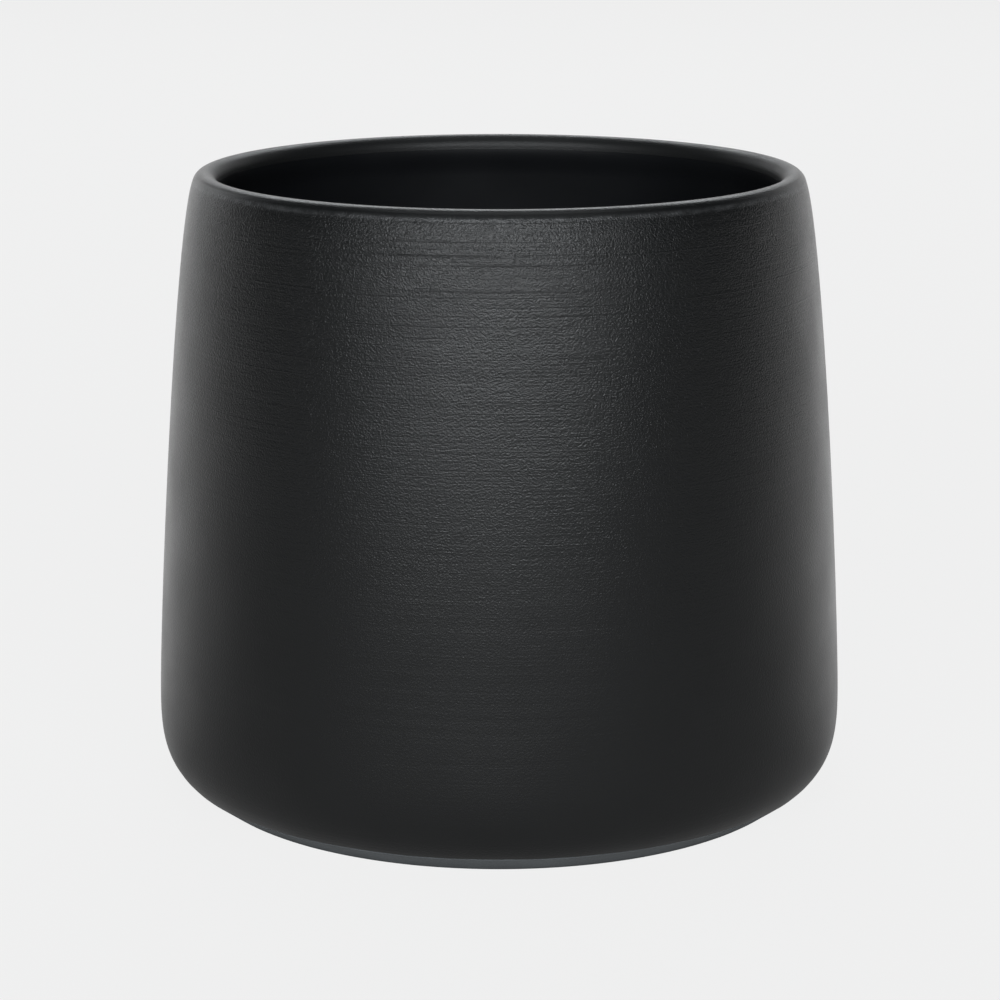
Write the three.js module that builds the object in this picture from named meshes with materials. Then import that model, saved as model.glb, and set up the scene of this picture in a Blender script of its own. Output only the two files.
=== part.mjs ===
// An empty ceramic candle jar. A slip-cast stoneware vessel stands on a chamfered, unglazed foot. A textured
// glaze coats its outside and its lip, and a smooth glaze lines its inside.
// Millimetres, +Z up. The origin is the centre of the foot, on the surface that the jar stands on.
//
// Every piece is turned about Z, so each one is drawn as a profile of points (radius, height).

import * as THREE from 'three';

// Driving dimensions
const HEIGHT = 90;
const WIDEST_RADIUS = 50;
const WIDEST_HEIGHT = 12.5; // where the jar is widest, above the foot
const WALL = 3.5; // the wall and the lip, with both glazes
const FLOOR = 4.3; // the floor with its glaze
const COAT = 0.4; // thickness of the outer glaze
const LINER = 0.3; // thickness of the inner glaze
const BOND = 0.03; // clearance between a glaze and what it lies against

// Foot
const FOOT_RADIUS = 43.4;
const FOOT_RING_WIDTH = 6.5;
const RECESS_DEPTH = 1.2; // the shallow recess inside the foot ring
const RECESS_EDGE = 1; // how far the recess's edge slopes inwards
const GLAZE_LINE = point(47.2, 2.75); // the top of the foot chamfer, where the glaze begins

// Outside curves: the lower rounding leaves the glaze line at an angle and ends upright, and the wall
// starts upright and leans inwards at the lip. A pull is the length of a curve's handle.
const ROUNDING_ANGLE = 46; // degrees above the horizontal at the glaze line
const ROUNDING_PULLS = [3.2, 4.6];
const WALL_PULLS = [10.5, 6.9];
const LIP_LEAN = 24; // degrees inwards at the lip
const LIP_OVERHANG = 6.45; // how far inside the widest radius the wall meets the lip

// Lip: a half circle with a narrow flat land on its crest. Under it, where the mouth is narrowest, a short
// upright band holds the join of the two glazes.
const LIP_RADIUS = WALL / 2;
const LAND_HALF_ANGLE = 10; // degrees of the half circle, each side of the crest
const JOIN_BAND = 0.8;

const FLOOR_HEIGHT = RECESS_DEPTH + FLOOR;

// Facets
const SEGMENTS = 48;
const ROUNDING_STEPS = 5;
const WALL_STEPS = 8;
const LIP_STEPS = 4;
const CORNER_STEPS = 5;

// Finishes
const BARE_CLAY = { color: 0x4a4a49, roughness: 0.95, metalness: 0 };
const MATTE_BLACK = { color: 0x2a2b2b, roughness: 0.6, metalness: 0 };
const SATIN_BLACK = { color: 0x121313, roughness: 0.45, metalness: 0 };

function point(radius, height) {
  return new THREE.Vector2(radius, height);
}

/** A unit vector at an angle in degrees above the outward horizontal. */
function direction(degrees) {
  const angle = THREE.MathUtils.degToRad(degrees);
  return point(Math.cos(angle), Math.sin(angle));
}

/** The point at a distance from another, along a direction. */
function along(start, heading, distance) {
  return start.clone().addScaledVector(heading, distance);
}

/** Points on an arc about a centre, between two angles in degrees. */
function arc(centre, radius, fromDegrees, toDegrees, steps) {
  const from = THREE.MathUtils.degToRad(fromDegrees);
  const to = THREE.MathUtils.degToRad(toDegrees);
  return new THREE.EllipseCurve(centre.x, centre.y, radius, radius, from, to, to < from).getPoints(steps);
}

/** An open profile moved sideways, with its corners mitred. A positive distance is to the right of its run. */
function offset(profile, distance) {
  const sides = profile.slice(1).map((end, i) => {
    const run = end.clone().sub(profile[i]).normalize();
    return point(run.y, -run.x);
  });
  return profile.map((corner, i) => {
    const before = sides[Math.max(i - 1, 0)];
    const after = sides[Math.min(i, sides.length - 1)];
    const mitre = before.clone().add(after);
    return along(corner, mitre, (2 * distance) / mitre.lengthSq());
  });
}

/** The outside from the glaze line up to the widest point. */
function roundingProfile() {
  const widest = point(WIDEST_RADIUS, WIDEST_HEIGHT);
  return new THREE.CubicBezierCurve(
    GLAZE_LINE,
    along(GLAZE_LINE, direction(ROUNDING_ANGLE), ROUNDING_PULLS[0]),
    along(widest, direction(-90), ROUNDING_PULLS[1]),
    widest,
  ).getPoints(ROUNDING_STEPS);
}

/** The centre of the half circle that the lip is drawn on. */
function lipCentre() {
  const crest = LIP_RADIUS * Math.cos(THREE.MathUtils.degToRad(LAND_HALF_ANGLE));
  const outsideWidth = LIP_RADIUS * Math.cos(THREE.MathUtils.degToRad(LIP_LEAN));
  return point(WIDEST_RADIUS - LIP_OVERHANG - outsideWidth, HEIGHT - crest);
}

/** The outside from the widest point up to the lip. */
function wallProfile() {
  const widest = point(WIDEST_RADIUS, WIDEST_HEIGHT);
  const top = along(lipCentre(), direction(LIP_LEAN), LIP_RADIUS);
  return new THREE.CubicBezierCurve(
    widest,
    along(widest, direction(90), WALL_PULLS[0]),
    along(top, direction(LIP_LEAN - 90), WALL_PULLS[1]),
    top,
  ).getPoints(WALL_STEPS);
}

/** The join, in the middle of the upright band under the lip. */
function joinPoint() {
  const mouth = along(lipCentre(), direction(180), LIP_RADIUS);
  return along(mouth, direction(-90), JOIN_BAND / 2);
}

/** The lip, from the outside over the crest to the join. */
function lipProfile() {
  const centre = lipCentre();
  return [
    ...arc(centre, LIP_RADIUS, LIP_LEAN, 90 - LAND_HALF_ANGLE, LIP_STEPS),
    ...arc(centre, LIP_RADIUS, 90 + LAND_HALF_ANGLE, 180, LIP_STEPS),
    joinPoint(),
  ];
}

/** The surface of the outer glaze, from the glaze line to the join. */
function coatProfile() {
  return [...roundingProfile(), ...wallProfile().slice(1), ...lipProfile().slice(1)];
}

/** The surface of the inner glaze, from just under the join, down the wall, to the middle of the floor. */
function linerProfile() {
  const bandBelow = along(joinPoint(), direction(-90), JOIN_BAND / 2);
  const wall = offset(wallProfile(), -WALL).reverse();
  const cornerRadius = WIDEST_HEIGHT - FLOOR_HEIGHT;
  const cornerCentre = point(WIDEST_RADIUS - WALL - cornerRadius, WIDEST_HEIGHT);
  return [
    along(joinPoint(), direction(-90), BOND),
    bandBelow,
    ...wall.slice(1),
    ...arc(cornerCentre, cornerRadius, 0, -90, CORNER_STEPS).slice(1),
    point(0, FLOOR_HEIGHT),
  ];
}

/** The underside, from its middle out to the foot and up the chamfer to the glaze line. */
function footProfile() {
  const ringInside = FOOT_RADIUS - FOOT_RING_WIDTH;
  return [
    point(0, RECESS_DEPTH),
    point(ringInside - RECESS_EDGE, RECESS_DEPTH),
    point(ringInside, 0),
    point(FOOT_RADIUS, 0),
    along(GLAZE_LINE, direction(ROUNDING_ANGLE - 180), BOND),
  ];
}

/** A named piece, turned about Z from a profile that runs with the solid on its left. */
function turned(name, profile, finish) {
  const geometry = new THREE.LatheGeometry(profile, SEGMENTS);
  geometry.rotateX(Math.PI / 2);
  const piece = new THREE.Mesh(geometry, new THREE.MeshStandardMaterial(finish));
  piece.name = name;
  return piece;
}

function stonewareBody() {
  const profile = [
    ...footProfile(),
    ...offset(coatProfile(), -COAT - BOND),
    ...offset(linerProfile(), -LINER - BOND),
  ];
  return turned('stoneware_body', profile, BARE_CLAY);
}

function outerGlazeCoat() {
  const surface = coatProfile();
  const back = offset(surface, -COAT).reverse();
  return turned('outer_glaze_coat', [...surface, ...back, surface[0]], MATTE_BLACK);
}

function innerGlazeLiner() {
  const surface = linerProfile();
  const back = offset(surface, -LINER).reverse();
  return turned('inner_glaze_liner', [...back, ...surface], SATIN_BLACK);
}

const jar = new THREE.Group();
jar.add(stonewareBody(), outerGlazeCoat(), innerGlazeLiner());

export default jar;
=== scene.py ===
"""The looks of an empty ceramic candle jar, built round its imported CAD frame.

Lengths are in metres and +Z is up. The jar is turned about Z, so each of its pieces is drawn as a profile of
points (radius, height). A profile runs with the solid on its left, so its outside is on its right.
"""

import math

import bpy
import numpy as np
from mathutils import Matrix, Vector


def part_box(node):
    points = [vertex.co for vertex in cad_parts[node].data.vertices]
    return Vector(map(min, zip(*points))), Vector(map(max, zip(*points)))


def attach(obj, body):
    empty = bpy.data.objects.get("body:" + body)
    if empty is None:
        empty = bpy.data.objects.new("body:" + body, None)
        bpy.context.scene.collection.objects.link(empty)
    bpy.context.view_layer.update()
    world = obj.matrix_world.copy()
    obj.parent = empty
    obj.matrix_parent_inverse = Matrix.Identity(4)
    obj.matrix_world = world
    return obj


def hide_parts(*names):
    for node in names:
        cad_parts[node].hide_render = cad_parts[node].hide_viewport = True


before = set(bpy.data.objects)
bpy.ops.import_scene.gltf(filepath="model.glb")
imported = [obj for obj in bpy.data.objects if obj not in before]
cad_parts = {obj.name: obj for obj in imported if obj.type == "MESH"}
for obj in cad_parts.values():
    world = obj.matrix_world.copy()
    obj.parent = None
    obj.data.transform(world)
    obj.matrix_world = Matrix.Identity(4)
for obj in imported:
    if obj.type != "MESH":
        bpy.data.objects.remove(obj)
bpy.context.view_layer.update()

MM = 0.001
BODY = "root"  # the one rigid body, which all the pieces belong to

# Driving dimensions of the jar, as in its CAD frame
GLAZE_LINE = np.array([47.2, 2.75]) * MM  # the top of the foot chamfer, where the glaze begins
WIDEST_HEIGHT = 12.5 * MM
WALL = 3.5 * MM  # thickness of the wall and the lip
LIP_OVERHANG = 6.45 * MM  # how far inside the widest radius the wall meets the lip
LIP_LEAN = 24  # degrees inwards at the lip
JOIN_BAND = 0.8 * MM  # the upright band under the lip, with the join of the glazes in its middle
ROUNDING_ANGLE = 46  # degrees above the horizontal at the glaze line
ROUNDING_PULLS = np.array([3.2, 4.6]) * MM
WALL_PULLS = np.array([10.5, 6.9]) * MM
COAT = 0.4 * MM  # thickness of the outer glaze
LINER = 0.3 * MM  # thickness of the inner glaze
BOND = 0.03 * MM  # clearance between a glaze and what it lies against
FOOT_RADIUS = 43.4 * MM
FOOT_RING_WIDTH = 6.5 * MM
RECESS_DEPTH = 1.2 * MM
RECESS_EDGE = 1 * MM  # how far the recess's edge slopes inwards

# Dimensions worked out from the frame. The lip is a half circle, and under it is the join of the glazes.
coat_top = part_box("outer_glaze_coat")[1]
WIDEST = np.array([coat_top.x, WIDEST_HEIGHT])
HEIGHT = coat_top.z
FLOOR_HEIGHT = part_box("inner_glaze_liner")[0].z + LINER
LIP_RADIUS = WALL / 2
LIP_WIDTH_OUTSIDE = LIP_RADIUS * math.cos(math.radians(LIP_LEAN))
LIP_CENTRE = np.array([WIDEST[0] - LIP_OVERHANG - LIP_WIDTH_OUTSIDE, HEIGHT - LIP_RADIUS])
JOIN = LIP_CENTRE - [LIP_RADIUS, JOIN_BAND / 2]
BAND_END = JOIN - [0, JOIN_BAND / 2]

# Softer lines than in the CAD frame
FOOT_ROUNDING = 0.45 * MM  # how far the foot's edges are rounded, each side of the corner
LIP_BLEND = 3 * MM  # how far below the upright band the inside takes on the wall's own curve

# Fineness of the meshes
SEGMENTS = 360
SAME_PLACE = 0.003 * MM  # points closer than this are one point
FINE = 0.48 * MM  # between rings on the outer glaze
PLAIN = 0.8 * MM  # between rings on the inner glaze and the base
HIDDEN = 2 * MM  # between rings on a face that another piece covers
LIP_STEPS = 32
HIDDEN_LIP_STEPS = 8
EDGE_STEPS = 8  # round the edge of the outer glaze
FOOT_CORNER_STEPS = 6
SHARP_EDGE = 40  # degrees between faces

# Relief in the surfaces
SEED = 7
OUT_OF_ROUND = 0.05 * MM
BODY_WAVES = (9, (2, 6), (40 * MM, 160 * MM))  # how many, their turns round the jar and lengths along it
GLAZE_LINE_WAVE = 0.06 * MM
GLAZE_LINE_WAVES = (8, (5, 60), (1, 2))  # taken at one height, so the lengths don't show
GLAZE_LINE_REACH = 2 * MM  # how far above and below the glaze line its wave is felt

# Turning marks: depth, spacing and width
FOOT_MARKS = (0.03 * MM, 1.6 * MM, 0.7 * MM)
COAT_MARKS = (0.016 * MM, 1.4 * MM, 0.5 * MM)
LINER_MARKS = (0.01 * MM, 4 * MM, 2 * MM)
MARK_TURNS = (1, 4)  # how often a mark comes and goes round the jar, from the first up to below the second
MARK_STRENGTHS = (0.1, 1)
MARK_FADING = 0.4  # how much of a mark's strength comes and goes
MARK_SPACINGS = (0.5, 1.6)  # in shares of the spacing

# Noise runs from 0 to 1, with nearly all of it between these
MOST_NOISE = (0.3, 0.7)

# Outer glaze: its colours, and its roughness
DARK_GLAZE = (0.0055, 0.0058, 0.006)
PALE_GLAZE_AND_HIGHLIGHT = (0.038, 0.039, 0.04)  # the paler glaze that the patches go towards, and the colour of the painted highlight just under the lip
PATCH_SIZE = 9 * MM
PATCH_TINT = 0.1  # how far the patches go towards the pale glaze
HIGHLIGHT_HEIGHTS = (88.3 * MM, 88.7 * MM)  # the heights between which the painted highlight under the lip grows
BLOTCH_SIZE = 1.1 * MM  # of the blotches that the painted highlight consists of
BLOTCH_STRETCH = (1.6, 1.6, 1)
BLOTCH_NOISE = (0.35, 0.65)  # the noise at the faintest and the strongest
FAINTEST_BLOTCH = 0.3
GLAZE_IOR = 1.4
GLAZE_ROUGHNESS = (0.36, 0.3)  # in the darkest and the palest patches
MOUTH_ROUGHER = 0.18  # on the inside of the lip

# Outer glaze: its texture. The shares are of the grain's depth.
GRAIN_SIZE = 0.25 * MM
GRAIN_DEPTH = 0.105 * MM
GRAIN_HEIGHTS = (30 * MM, 85 * MM)  # between which the whole texture grows
LOW_TEXTURE = 0.3  # how much of the texture there is below those heights
LIP_TEXTURE = 0.35  # and on the lip
LIP_HEIGHTS = (88.9 * MM, 89.3 * MM)  # between which the lip begins
PIMPLE_SIZE = 0.45 * MM
PIMPLE_NOISE = (0.72, 0.8)  # the noise between which a pimple rises
PIMPLE_SHARE = 0.08
LINE_WIDTH = 0.3 * MM
LINE_STRETCH = (80, 80, 1)
LINE_SHARE = 0.42
LONG_LINE_WIDTH = 0.24 * MM
LONG_LINE_STRETCH = (300, 300, 1)
LONG_LINE_NOISE = (0.64, 0.72)
LONG_LINE_SHARE = 0.25
LONG_LINE_HEIGHTS = (30 * MM, 80 * MM)  # between which the long lines grow to their share

# Inner glaze
LINER_DARK = (0.004, 0.0043, 0.005)
LINER_PALE = (0.0065, 0.007, 0.008)
LINER_PATCH_SIZE = 14 * MM
LINER_IOR = 1.33
LINER_ROUGHNESS = (0.36, 0.42)
PEEL_SIZE = 1.6 * MM
PEEL_STRETCH = (1.4, 1.4, 0.8)
PEEL_DEPTH = 0.012 * MM

# Bare clay
CLAY_DARK = (0.035, 0.038, 0.04)
CLAY_PALE = (0.16, 0.174, 0.184)
CLAY_ROUGHNESS = (0.8, 0.92)
SAND_SIZE = 0.3 * MM
SAND_SHARE = 0.6  # of the clay's mottling, the rest of which is patches
SAND_DEPTH = 0.04 * MM
CLAY_PATCH_SIZE = 6 * MM

# Stage
PALE = 0.86  # the backdrop, as a linear grey
HORIZON_GLOW = 1.3  # the light that the jar gets from the backdrop low down behind it
BEHIND = (0.5, 0.95)  # how far backwards a direction points where that light begins and is full
LOW_DOWN = (0.5, 0.15)  # and how far upwards
FLOOR_RADIUS = 6
FLOOR_SIDES = 96
FLOOR_GREY = 0.05
GLOW = 0.836  # the floor's own light, as it is seen
GLOW_IN_FRONT = 0.32  # and as the jar gets it, from in front and from behind
GLOW_BEHIND = 1.15
GLOW_TURNS = (-0.1, 1)  # how far backwards, from -1 to 1, the one glow ends and the other is full
FOOT_SHADE = (FOOT_RADIUS - 0.5 * MM, FOOT_RADIUS + 2.5 * MM)  # the radii between which that light begins
BOX_DISTANCE = 1.6  # from the middle of the jar to a soft box
BOX_COLOUR = (0.94, 0.975, 1)

# Soft boxes: degrees round from the front towards the right, degrees up, width, height, and power in watts
SOFT_BOXES = {
    "key": (0, 20, 2.1, 0.3, 28),
    "front": (-2, 6, 0.7, 0.5, 1.8),
    "front_left": (-35, 12, 0.6, 0.5, 2.2),
    "top": (180, 88, 1.2, 0.8, 3.2),
    "back": (180, 38, 1.2, 0.4, 8),
    "left_strip": (-138, 16, 0.5, 0.9, 1.5),
    "right_strip": (138, 16, 0.5, 0.9, 0.5),
}

# Camera, a little above the jar and in front of it
CAMERA_PLACE = np.array([0.1, -437.7, 145.8]) * MM
CAMERA_PITCH = 13.43  # degrees down
CAMERA_LENS = 110.6
CAMERA_SENSOR = 36


# Lines of the jar


def direction(degrees):
    """A unit vector at an angle above the outward horizontal."""
    angle = math.radians(degrees)
    return np.array([math.cos(angle), math.sin(angle)])


def steps(length, step):
    """How many steps of about a size a length takes."""
    return max(1, round(float(length) / step))


def straight(start, end, step):
    """Points on a straight line, about a step apart."""
    count = steps(np.linalg.norm(np.subtract(end, start)), step)
    return np.linspace(start, end, count + 1)


def curve(start, start_pull, end_pull, end, step):
    """A cubic curve from its two ends and the ends of their handles."""
    count = steps(np.linalg.norm(np.subtract(end, start)), step)
    t = np.linspace(0, 1, count + 1)[:, None]
    near = (1 - t) ** 3 * start + 3 * (1 - t) ** 2 * t * start_pull
    return near + 3 * (1 - t) * t**2 * end_pull + t**3 * end


def arc(centre, radius, from_degrees, to_degrees, count):
    """Points on an arc about a centre."""
    angles = np.radians(np.linspace(from_degrees, to_degrees, count + 1))
    return centre + radius * np.column_stack([np.cos(angles), np.sin(angles)])


def joined(*runs):
    """Runs of points end to end, without the points that repeat."""
    points = np.vstack(runs)
    gaps = np.linalg.norm(np.diff(points, axis=0), axis=1)
    return points[np.concatenate([[True], gaps > SAME_PLACE])]


def softened(corners, reach, count):
    """A line through corners, with each inner corner rounded over a reach before and after it."""
    line = [corners[0]]
    t = np.linspace(0, 1, count + 1)[:, None]
    for before, corner, after in zip(corners, corners[1:], corners[2:]):
        start = corner + (before - corner) * reach / np.linalg.norm(before - corner)
        end = corner + (after - corner) * reach / np.linalg.norm(after - corner)
        line.extend((1 - t) ** 2 * start + 2 * (1 - t) * t * corner + t**2 * end)
    line.append(corners[-1])
    return np.array(line)


def sides(profile):
    """At each point, how far it moves for the whole line to move one unit to the right of its run."""
    runs = np.diff(profile, axis=0)
    runs /= np.linalg.norm(runs, axis=1)[:, None]
    right = np.column_stack([runs[:, 1], -runs[:, 0]])
    mitre = np.vstack([right[:1], right]) + np.vstack([right, right[-1:]])
    return 2 * mitre / (mitre**2).sum(axis=1)[:, None]


def offset(profile, distance):
    """A profile moved sideways, to the right of its run where the distance is positive."""
    return profile + sides(profile) * distance


def rounding(step):
    """The outside from the glaze line up to the widest point."""
    pull = GLAZE_LINE + direction(ROUNDING_ANGLE) * ROUNDING_PULLS[0]
    return curve(GLAZE_LINE, pull, WIDEST - [0, ROUNDING_PULLS[1]], WIDEST, step)


def outer_wall(step):
    """The outside from the widest point up to the lip."""
    top = LIP_CENTRE + direction(LIP_LEAN) * LIP_RADIUS
    pull = top - direction(LIP_LEAN + 90) * WALL_PULLS[1]
    return curve(WIDEST, WIDEST + [0, WALL_PULLS[0]], pull, top, step)


def coat_surface(step, lip_steps):
    """The outer glaze, from the glaze line, over the lip, to the join."""
    lip = arc(LIP_CENTRE, LIP_RADIUS, LIP_LEAN, 180, lip_steps)
    return joined(rounding(step), outer_wall(step), lip, [JOIN])


def inner_wall(step):
    """The inside, from the upright band down to just above the floor's corner."""
    wall = offset(outer_wall(step), -WALL)[:0:-1]  # downwards, without its lowest point
    lower = wall[wall[:, 1] < BAND_END[1] - LIP_BLEND]
    heading = (lower[0] - lower[1]) / np.linalg.norm(lower[0] - lower[1])
    pull = LIP_BLEND / 3
    blend = curve(BAND_END, BAND_END - [0, pull], lower[0] + heading * pull, lower[0], step)
    return joined(blend, lower)


def liner_surface(step):
    """The inner glaze, from just under the join, down the wall, to the middle of the floor."""
    radius = WIDEST_HEIGHT - FLOOR_HEIGHT
    centre = WIDEST - [WALL + radius, 0]
    corner = arc(centre, radius, 0, -90, steps(radius * math.pi / 2, step))
    middle = straight(corner[-1], [0, FLOOR_HEIGHT], step)
    return joined([JOIN - [0, BOND]], inner_wall(step), corner, middle)


def foot_surface(step):
    """The bare clay, from the middle of the base out to the foot and up the chamfer to the glaze line."""
    ring_inside = FOOT_RADIUS - FOOT_RING_WIDTH
    corners = np.array(
        [
            [0, RECESS_DEPTH],
            [ring_inside - RECESS_EDGE, RECESS_DEPTH],
            [ring_inside, 0],
            [FOOT_RADIUS, 0],
            GLAZE_LINE - direction(ROUNDING_ANGLE) * BOND,
        ]
    )
    line = softened(corners, FOOT_ROUNDING, FOOT_CORNER_STEPS)
    return joined(*[straight(start, end, step) for start, end in zip(line, line[1:])])


# Relief


draw = np.random.default_rng(SEED)


def waves(count, turns, lengths):
    """A function of angle and travel, from about -1 to 1, made of a few waves round the jar and along it."""
    parts = []
    for _ in range(count):
        parts.append((draw.integers(*turns), draw.uniform(*lengths), draw.uniform(0, 2 * math.pi)))

    def height(angle, travel):
        total = 0
        for turn, length, phase in parts:
            total = total + np.cos(turn * angle + 2 * math.pi * travel / length + phase)
        return total / count

    return height


body_swell = waves(*BODY_WAVES)
glaze_wave = waves(*GLAZE_LINE_WAVES)


def settled(angle, radius, height):
    """Where a point of the round jar lies on the real one: it is a little out of round, and its glaze line
    wanders a little. All the pieces share this, so they still fit."""
    near = np.exp(-(((height - GLAZE_LINE[1]) / GLAZE_LINE_REACH) ** 2)) * (radius > FOOT_RADIUS)
    swollen = radius + OUT_OF_ROUND * body_swell(angle, height) * radius / WIDEST[0]
    return swollen, height + GLAZE_LINE_WAVE * glaze_wave(angle, 0) * near


def turning_marks(depth, pitch, width):
    """The relief of fine grooves of uneven spacing and depth, which come and go round the jar."""

    def lift(angle, travel):
        total = np.zeros(np.broadcast(angle, travel).shape)
        place = pitch
        while place < travel.max() - pitch:
            turns, phase = draw.integers(*MARK_TURNS), draw.uniform(0, 2 * math.pi)
            fading = 1 - MARK_FADING + MARK_FADING * np.cos(turns * angle + phase)
            strength = draw.uniform(*MARK_STRENGTHS) * fading
            total -= strength * np.exp(-(((travel - place) / width) ** 2))
            place += draw.uniform(*MARK_SPACINGS) * pitch
        return depth * total.clip(-1, 0)

    return lift


def flat(angle, travel):
    """No relief."""
    return np.zeros(np.broadcast(angle, travel).shape)


# Pieces


def swept(runs, angles):
    """The radius and the height of each point, ring by ring, from runs of (profile, relief)."""
    radii, heights = [], []
    for profile, relief in runs:
        lengths = np.linalg.norm(np.diff(profile, axis=0), axis=1)
        travel = np.concatenate([[0], np.cumsum(lengths)])[:, None]
        lift = relief(angles, travel)
        out = sides(profile)
        radii.append(profile[:, :1] + out[:, :1] * lift)
        heights.append(profile[:, 1:] + out[:, 1:] * lift)
    return settled(angles, np.vstack(radii), np.vstack(heights))


def faces_between(rings):
    """The faces from each ring of vertices to the next, which are triangles beside a ring on the axis."""
    faces = []
    for low, high in zip(rings, rings[1:]):
        for i in range(SEGMENTS):
            j = (i + 1) % SEGMENTS
            faces.append(tuple(dict.fromkeys((low[i], low[j], high[j], high[i]))))
    return faces


def closed_mesh(name, runs):
    """A closed mesh, turned about Z from runs of (profile, relief). The first run starts on the axis and the
    last one ends there, or the last one ends where the first one starts."""
    angles = np.linspace(0, 2 * math.pi, SEGMENTS, endpoint=False)[None, :]
    radius, height = swept(runs, angles)
    vertices, rings = [], []
    for ring_radius, ring_height in zip(radius, height):
        first = len(vertices)
        if ring_radius.max() < SAME_PLACE:
            rings.append([first] * SEGMENTS)
            vertices.append((0, 0, ring_height.mean()))
            continue
        rings.append(range(first, first + SEGMENTS))
        vertices.extend(zip(ring_radius * np.cos(angles[0]), ring_radius * np.sin(angles[0]), ring_height))
    if radius[0].max() > SAME_PLACE:
        rings.append(rings[0])
    mesh = bpy.data.meshes.new(name)
    mesh.from_pydata(vertices, [], faces_between(rings))
    mesh.shade_smooth()
    mesh.set_sharp_from_angle(angle=math.radians(SHARP_EDGE))
    return mesh


def add_piece(name, runs, node, material):
    """A turned piece that stands for a CAD node."""
    mesh = closed_mesh(name, runs)
    mesh.materials.append(material)
    piece = bpy.data.objects.new(name, mesh)
    bpy.context.scene.collection.objects.link(piece)
    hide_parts(node)
    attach(piece, BODY)


def clay_body(material):
    """The clay. It is bare from the middle of the base to the glaze line, and the glazes hide the rest."""
    outside = offset(coat_surface(HIDDEN, HIDDEN_LIP_STEPS), -COAT - BOND)
    inside = offset(liner_surface(HIDDEN), -LINER - BOND)
    runs = [(foot_surface(PLAIN), turning_marks(*FOOT_MARKS)), (joined(outside, inside), flat)]
    add_piece("clay_body", runs, "stoneware_body", material)


def outer_glaze(material):
    """The outer glaze, which ends low down in a rounded edge, half its thickness in radius."""
    surface = coat_surface(FINE, LIP_STEPS)
    back = offset(coat_surface(HIDDEN, HIDDEN_LIP_STEPS), -COAT)[::-1]
    centre = GLAZE_LINE + (direction(ROUNDING_ANGLE) + direction(ROUNDING_ANGLE + 90)) * COAT / 2
    edge = arc(centre, COAT / 2, ROUNDING_ANGLE - 270, ROUNDING_ANGLE - 90, EDGE_STEPS)
    runs = [
        (surface[surface[:, 1] > edge[-1, 1] + BOND], turning_marks(*COAT_MARKS)),
        (back[back[:, 1] > edge[0, 1] + BOND], flat),
        (edge, flat),
    ]
    add_piece("outer_glaze", runs, "outer_glaze_coat", material)


def inner_glaze(material):
    """The inner glaze, from its hidden back to its surface."""
    back = offset(liner_surface(HIDDEN), -LINER)[::-1]
    runs = [(back, flat), (liner_surface(PLAIN), turning_marks(*LINER_MARKS))]
    add_piece("inner_glaze", runs, "inner_glaze_liner", material)


# Materials


class Wiring:
    """A node tree whose nodes are added one at a time."""

    def __init__(self, tree):
        self.tree = tree

    def add(self, kind, sockets=None, **settings):
        """A node with its settings, and with its sockets set to a value or fed from another node."""
        node = self.tree.nodes.new(kind)
        for name, value in settings.items():
            setattr(node, name, value)
        for name, value in (sockets or {}).items():
            if isinstance(value, bpy.types.NodeSocket):
                self.tree.links.new(value, node.inputs[name])
            else:
                node.inputs[name].default_value = value
        return node

    def ranged(self, value, low, high, to_low=0, to_high=1):
        """A value from low to high brought into another range, and held at the ends of that."""
        sockets = {"Value": value, "From Min": low, "From Max": high, "To Min": to_low, "To Max": to_high}
        return self.add("ShaderNodeMapRange", sockets).outputs["Result"]

    def math(self, operation, first, second):
        """Two values put together by an operation of Blender's Math node."""
        return self.add("ShaderNodeMath", {0: first, 1: second}, operation=operation).outputs["Value"]

    def part(self, vector, axis):
        """One coordinate of a vector."""
        return self.add("ShaderNodeSeparateXYZ", {"Vector": vector}).outputs[axis]

    def seen(self):
        """1 for what the camera sees itself, and 0 for the light that things get."""
        return self.add("ShaderNodeLightPath").outputs["Is Camera Ray"]


class Paint(Wiring):
    """A material of one Principled shader."""

    def __init__(self, name):
        self.material = bpy.data.materials.new(name)
        self.material.use_nodes = True
        super().__init__(self.material.node_tree)
        self.shader = self.tree.nodes["Principled BSDF"]
        self.place = self.add("ShaderNodeTexCoord").outputs["Object"]

    def height(self):
        """How high the place is, in metres."""
        return self.part(self.place, "Z")

    def radius(self):
        """How far the place is from the jar's axis, in metres."""
        level = self.add("ShaderNodeVectorMath", {0: self.place, 1: (1, 1, 0)}, operation="MULTIPLY")
        length = self.add("ShaderNodeVectorMath", {0: level.outputs["Vector"]}, operation="LENGTH")
        return length.outputs["Value"]

    def noise(self, size, stretch=(1, 1, 1), detail=2, roughness=0.5):
        """Noise from 0 to 1, in grains of a size that are stretched along X, Y and Z."""
        scale = [1 / (size * along) for along in stretch]
        place = self.add("ShaderNodeMapping", {"Vector": self.place, "Scale": scale}).outputs["Vector"]
        sockets = {"Vector": place, "Scale": 1, "Detail": detail, "Roughness": roughness}
        return self.add("ShaderNodeTexNoise", sockets).outputs["Fac"]

    def fixed(self, socket, value):
        """Sets one of the shader's sockets."""
        self.shader.inputs[socket].default_value = value

    def driven(self, socket, value):
        """Feeds one of the shader's sockets from another node."""
        self.tree.links.new(value, self.shader.inputs[socket])

    def tint(self, factor, low, high):
        """A base colour between two."""
        ramp = self.add("ShaderNodeValToRGB", {"Fac": factor})
        ramp.color_ramp.elements[0].color = (*low, 1)
        ramp.color_ramp.elements[1].color = (*high, 1)
        self.driven("Base Color", ramp.outputs["Color"])

    def bump(self, relief, depth):
        """Relief from 0 to 1, as bumps of a depth in metres."""
        bumps = self.add("ShaderNodeBump", {"Height": relief, "Distance": depth})
        self.driven("Normal", bumps.outputs["Normal"])


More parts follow.
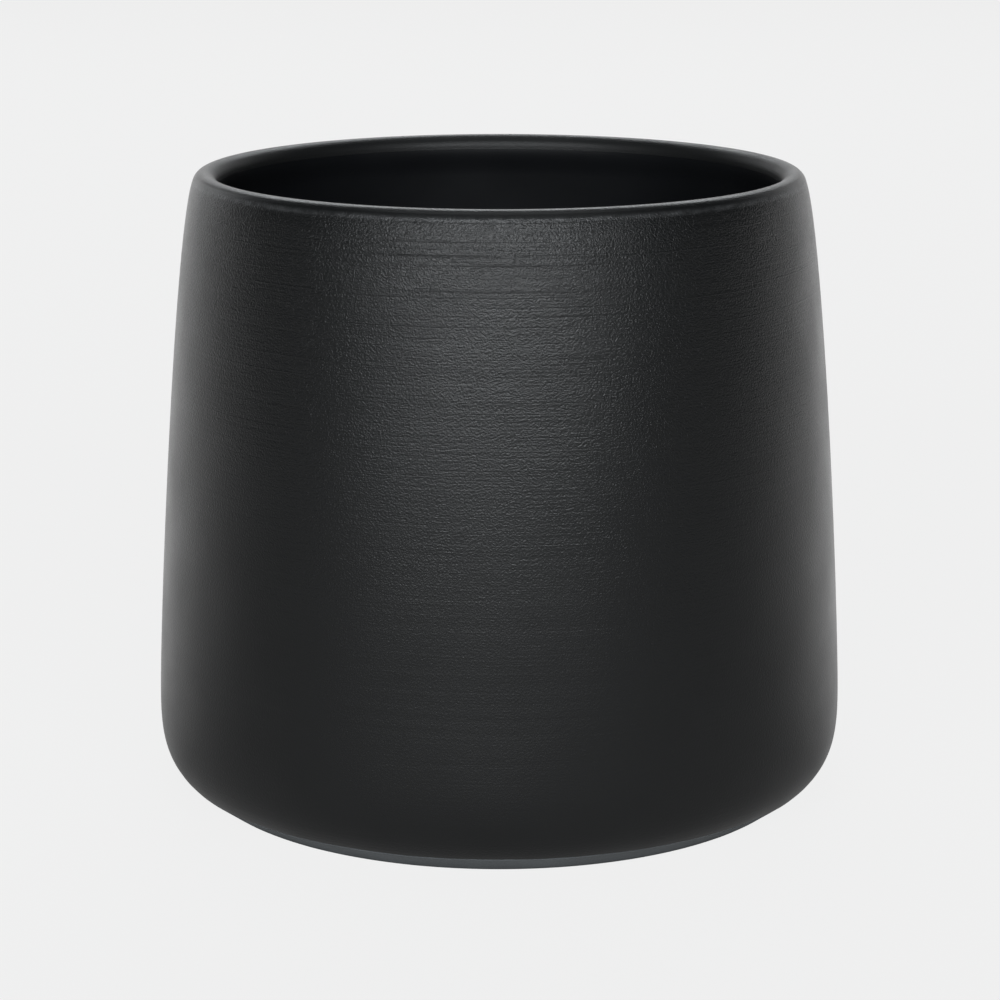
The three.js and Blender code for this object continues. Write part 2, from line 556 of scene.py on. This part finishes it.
def glaze_texture(paint, on_lip):
    """A fine pebbly grain with a few raised grains, and turning lines, short and long. All of it is fainter
    low down and on the lip."""
    height = paint.height()
    grain = paint.noise(GRAIN_SIZE, detail=1, roughness=0.6)
    pimples = paint.ranged(paint.noise(PIMPLE_SIZE, detail=0), *PIMPLE_NOISE, 0, PIMPLE_SHARE)
    lines = paint.noise(LINE_WIDTH, LINE_STRETCH, detail=2, roughness=0.6)
    long_lines = paint.ranged(paint.noise(LONG_LINE_WIDTH, LONG_LINE_STRETCH, detail=1), *LONG_LINE_NOISE)
    long_line_share = paint.ranged(height, *LONG_LINE_HEIGHTS, 0, LONG_LINE_SHARE)
    long_lines = paint.math("MULTIPLY", long_lines, long_line_share)
    relief = paint.math("ADD", grain, pimples)
    relief = paint.math("ADD", relief, paint.math("MULTIPLY", lines, LINE_SHARE))
    relief = paint.math("ADD", relief, long_lines)
    upwards = paint.ranged(height, *GRAIN_HEIGHTS, LOW_TEXTURE, 1)
    strength = paint.math("MULTIPLY", upwards, paint.ranged(on_lip, 0, 1, 1, LIP_TEXTURE))
    paint.bump(paint.math("MULTIPLY", relief, strength), GRAIN_DEPTH)


def matte_black():
    """Matte textured glaze, with a painted highlight in pale blotches just under the lip."""
    paint = Paint("matte_black_glaze")
    paint.fixed("IOR", GLAZE_IOR)
    height, radius = paint.height(), paint.radius()
    outside = paint.ranged(radius, LIP_CENTRE[0], LIP_CENTRE[0] + LIP_RADIUS / 2)
    inside = paint.math("SUBTRACT", 1, outside)
    on_lip = paint.math("MAXIMUM", paint.ranged(height, *LIP_HEIGHTS), inside)
    glaze_texture(paint, on_lip)

    patches = paint.noise(PATCH_SIZE, detail=4)
    # Painted highlight: a pale band of blotches just under the lip, where the key light's reflection falls
    highlight_blotches = paint.ranged(paint.noise(BLOTCH_SIZE, BLOTCH_STRETCH), *BLOTCH_NOISE, FAINTEST_BLOTCH, 1)
    highlight_band = paint.math("SUBTRACT", paint.ranged(height, *HIGHLIGHT_HEIGHTS), on_lip)
    painted_highlight = paint.math("MULTIPLY", paint.math("MULTIPLY", highlight_band, outside), highlight_blotches)
    patches_and_highlight = paint.math("MAXIMUM", paint.ranged(patches, 0, 1, 0, PATCH_TINT), painted_highlight)
    paint.tint(patches_and_highlight, DARK_GLAZE, PALE_GLAZE_AND_HIGHLIGHT)

    uneven = paint.ranged(patches, *MOST_NOISE, *GLAZE_ROUGHNESS)
    in_mouth = paint.ranged(radius, LIP_CENTRE[0], LIP_CENTRE[0] - LIP_RADIUS, 0, MOUTH_ROUGHER)
    paint.driven("Roughness", paint.math("ADD", uneven, in_mouth))
    return paint.material


def satin_black():
    """Smooth satin glaze, with a faint orange peel."""
    paint = Paint("satin_black_glaze")
    paint.fixed("IOR", LINER_IOR)
    patches = paint.noise(LINER_PATCH_SIZE, detail=3)
    paint.tint(patches, LINER_DARK, LINER_PALE)
    paint.driven("Roughness", paint.ranged(patches, *MOST_NOISE, *LINER_ROUGHNESS))
    paint.bump(paint.noise(PEEL_SIZE, PEEL_STRETCH), PEEL_DEPTH)
    return paint.material


def bare_clay():
    """Dry fired clay, mottled, with a fine sand in it."""
    paint = Paint("bare_stoneware")
    sand = paint.noise(SAND_SIZE, detail=3, roughness=0.65)
    patches = paint.noise(CLAY_PATCH_SIZE, detail=3)
    sandy = paint.math("MULTIPLY", sand, SAND_SHARE)
    mottled = paint.math("ADD", sandy, paint.math("MULTIPLY", patches, 1 - SAND_SHARE))
    paint.tint(mottled, CLAY_DARK, CLAY_PALE)
    paint.driven("Roughness", paint.ranged(patches, *MOST_NOISE, *CLAY_ROUGHNESS))
    paint.bump(sand, SAND_DEPTH)
    return paint.material


# Stage


def soft_box(name, azimuth, elevation, width, height, power):
    """A rectangular light that faces the middle of the jar. The camera doesn't see it."""
    light = bpy.data.lights.new(name, "AREA")
    light.shape = "RECTANGLE"
    light.size = width
    light.size_y = height
    light.energy = power
    light.color = BOX_COLOUR
    level, rise = direction(elevation) * BOX_DISTANCE
    right, back = direction(azimuth - 90) * level
    lamp = bpy.data.objects.new(name, light)
    lamp.location = (right, back, rise + HEIGHT / 2)
    lamp.rotation_euler = (math.radians(90 - elevation), 0, math.radians(azimuth))
    lamp.visible_camera = False
    bpy.context.scene.collection.objects.link(lamp)


def pale_floor():
    """A wide pale floor with a glow of its own, which keeps it even. The jar gets less light than that from
    in front of it, more from behind it, and none from right beside its foot."""
    paint = Paint("pale_floor")
    paint.fixed("Base Color", (FLOOR_GREY, FLOOR_GREY, FLOOR_GREY, 1))
    paint.fixed("Roughness", 1)
    paint.fixed("Specular IOR Level", 0)
    paint.fixed("Emission Color", (1, 1, 1, 1))
    outwards = paint.add("ShaderNodeVectorMath", {0: paint.place}, operation="NORMALIZE").outputs["Vector"]
    glow = paint.ranged(paint.part(outwards, "Y"), *GLOW_TURNS, GLOW_IN_FRONT, GLOW_BEHIND)
    on_jar = paint.math("MULTIPLY", glow, paint.ranged(paint.radius(), *FOOT_SHADE))
    paint.driven("Emission Strength", paint.ranged(paint.seen(), 0, 1, on_jar, GLOW))

    corners = [direction(360 * i / FLOOR_SIDES) * FLOOR_RADIUS for i in range(FLOOR_SIDES)]
    rim = [(x, y, 0) for x, y in corners]
    mesh = bpy.data.meshes.new("floor")
    mesh.from_pydata(rim, [], [range(FLOOR_SIDES)])
    mesh.materials.append(paint.material)
    floor = bpy.data.objects.new("floor", mesh)
    bpy.context.scene.collection.objects.link(floor)


def pale_surroundings():
    """A pale backdrop all round. The jar gets light from only the part of it that is low down behind."""
    world = bpy.data.worlds.new("surroundings")
    world.use_nodes = True
    wiring = Wiring(world.node_tree)
    way = wiring.add("ShaderNodeTexCoord").outputs["Generated"]
    behind = wiring.ranged(wiring.part(way, "Y"), *BEHIND)
    low_down = wiring.ranged(wiring.part(way, "Z"), *LOW_DOWN)
    on_jar = wiring.math("MULTIPLY", wiring.math("MULTIPLY", behind, low_down), HORIZON_GLOW)
    background = world.node_tree.nodes["Background"]
    background.inputs["Color"].default_value = (PALE, PALE, PALE, 1)
    wiring.tree.links.new(wiring.ranged(wiring.seen(), 0, 1, on_jar, 1), background.inputs["Strength"])
    bpy.context.scene.world = world


def camera():
    """The camera, level from side to side."""
    data = bpy.data.cameras.new("camera")
    data.lens = CAMERA_LENS
    data.sensor_width = CAMERA_SENSOR
    viewer = bpy.data.objects.new("camera", data)
    viewer.location = CAMERA_PLACE
    viewer.rotation_euler = (math.radians(90 - CAMERA_PITCH), 0, 0)
    bpy.context.scene.collection.objects.link(viewer)
    bpy.context.scene.camera = viewer


camera()
clay_body(bare_clay())
outer_glaze(matte_black())
inner_glaze(satin_black())
pale_floor()
pale_surroundings()
for box_name, settings in SOFT_BOXES.items():
    soft_box(box_name, *settings)
bpy.context.scene.view_settings.view_transform = "Standard"
